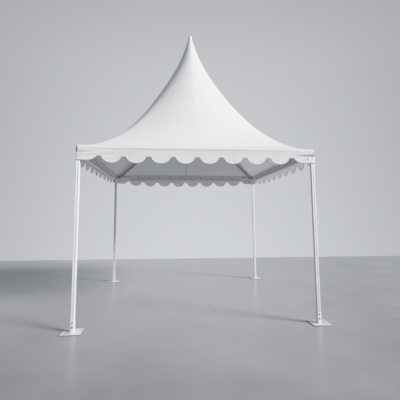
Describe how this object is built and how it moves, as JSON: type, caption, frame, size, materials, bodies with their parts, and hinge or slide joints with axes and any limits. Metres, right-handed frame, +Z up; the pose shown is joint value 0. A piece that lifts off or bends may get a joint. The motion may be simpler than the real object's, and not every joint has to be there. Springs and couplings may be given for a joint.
{
  "type": "pagoda marquee tent",
  "caption": "Square free-standing marquee with a tall spired cover, scalloped valance, corner posts and foot plates.",
  "frame": {"origin": "on the ground under the tent's centre", "axes": "+Z up along the king pole, -Y towards the front, +X to the right seen from the front"},
  "size_m": [3.186, 3.186, 4.54],
  "materials": {
    "frame_paint": "white powder coat on aluminium extrusion, satin",
    "plate_paint": "light grey powder coat on steel, satin",
    "strut_metal": "mill finish tube, satin",
    "cover_pvc": "white coated PVC membrane, satin, slightly translucent",
    "cap_plastic": "white moulded cap"
  },
  "bodies": {
    "root": {"base_plate_front_right": "plate_paint", "base_plate_back_right": "plate_paint", "base_plate_back_left": "plate_paint", "base_plate_front_left": "plate_paint", "foot_sleeve_front_right": "plate_paint", "foot_sleeve_back_right": "plate_paint", "foot_sleeve_back_left": "plate_paint", "foot_sleeve_front_left": "plate_paint", "post_front_right": "frame_paint", "post_back_right": "frame_paint", "post_back_left": "frame_paint", "post_front_left": "frame_paint", "corner_connector_front_right": "frame_paint", "corner_connector_back_right": "frame_paint", "corner_connector_back_left": "frame_paint", "corner_connector_front_left": "frame_paint", "eave_beam_front": "frame_paint", "eave_beam_right": "frame_paint", "eave_beam_back": "frame_paint", "eave_beam_left": "frame_paint", "hip_strut_front_right": "strut_metal", "hip_strut_back_right": "strut_metal", "hip_strut_back_left": "strut_metal", "hip_strut_front_left": "strut_metal", "crown": "strut_metal", "king_pole": "strut_metal", "peak_cap": "cap_plastic", "roof_gore_front": "cover_pvc", "roof_gore_right": "cover_pvc", "roof_gore_back": "cover_pvc", "roof_gore_left": "cover_pvc", "valance_front": "cover_pvc", "valance_right": "cover_pvc", "valance_back": "cover_pvc", "valance_left": "cover_pvc", "lacing_flap_front": "cover_pvc", "lacing_flap_right": "cover_pvc", "lacing_flap_back": "cover_pvc", "lacing_flap_left": "cover_pvc"}
  },
  "joints": []
}
